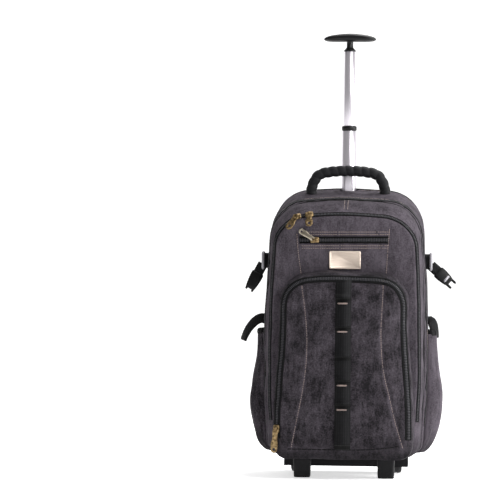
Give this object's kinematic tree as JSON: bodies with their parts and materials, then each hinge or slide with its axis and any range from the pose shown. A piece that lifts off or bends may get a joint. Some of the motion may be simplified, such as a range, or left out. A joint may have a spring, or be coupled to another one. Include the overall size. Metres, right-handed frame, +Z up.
{
  "type": "wheeled backpack",
  "caption": "Soft canvas backpack on wheels, with stepped zip compartments, side pockets and a single-pole telescopic pull handle.",
  "frame": {"origin": "on the floor, under the middle of the bounding box", "axes": "+Z up, +X to the viewer's right, the front pocket faces -Y"},
  "size_m": [0.3915, 0.2444, 0.826],
  "materials": {
    "canvas": "washed charcoal cotton canvas",
    "back_padding": "padded black mesh cloth",
    "zip_tape": "black woven zip tape and coil",
    "piping": "black piping",
    "webbing": "black woven webbing",
    "handle_wrap": "black wound tape over padding",
    "zip_brass": "antique brass",
    "plate": "satin nickel",
    "buckle": "moulded acetal",
    "handle_plastic": "moulded ABS",
    "base_plastic": "moulded polypropylene",
    "hub": "moulded nylon",
    "tyre": "moulded polyurethane",
    "axle": "plain steel",
    "tube": "satin anodised"
  },
  "bodies": {
    "pack": {"main_shell": "canvas", "main_zip": "zip_tape", "second_shell": "canvas", "second_zip": "zip_tape", "pocket_zip": "zip_tape", "front_pocket": "canvas", "front_zip": "zip_tape", "back_panel": "back_padding", "back_piping": "piping", "shoulder_strap_left": "back_padding", "shoulder_strap_right": "back_padding", "side_pocket_left": "canvas", "side_pocket_right": "canvas", "base_tray": "base_plastic", "axle_left": "axle", "axle_right": "axle", "front_foot_left": "base_plastic", "front_foot_right": "base_plastic", "trolley_outer_tube": "tube", "trolley_bezel": "handle_plastic", "grab_handle": "handle_wrap", "daisy_webbing": "webbing", "name_plate": "plate", "slider_second_left": "zip_brass", "slider_second_right": "zip_brass", "slider_pocket": "zip_brass", "slider_front": "zip_brass", "upper_tab_left": "webbing", "upper_ring_left": "buckle", "upper_buckle_left": "buckle", "upper_tab_right": "webbing", "upper_ring_right": "buckle", "upper_buckle_right": "buckle", "side_strap_left": "webbing", "side_strap_right": "webbing"},
    "wheel_left": {"tyre_left": "tyre", "wheel_hub_left": "hub"},
    "wheel_right": {"tyre_right": "tyre", "wheel_hub_right": "hub"},
    "lower_stage": {"lower_stage": "tube", "stage_collar": "handle_plastic"},
    "upper_stage": {"upper_stage": "tube", "grip": "handle_plastic"}
  },
  "joints": [
    {"name": "wheel_left_spin", "type": "hinge", "parent": "pack", "child": "wheel_left", "pos_m": [-0.091, 0.08475, 0.031], "axis": [1, 0, 0], "continuous": true},
    {"name": "wheel_right_spin", "type": "hinge", "parent": "pack", "child": "wheel_right", "pos_m": [0.091, 0.08475, 0.031], "axis": [1, 0, 0], "continuous": true},
    {"name": "lower_stage_slide", "type": "slide", "parent": "pack", "child": "lower_stage", "axis": [0, 0, 1], "range_m": [-0.1, 0]},
    {"name": "upper_stage_slide", "type": "slide", "parent": "lower_stage", "child": "upper_stage", "axis": [0, 0, 1], "range_m": [-0.135, 0]}
  ]
}
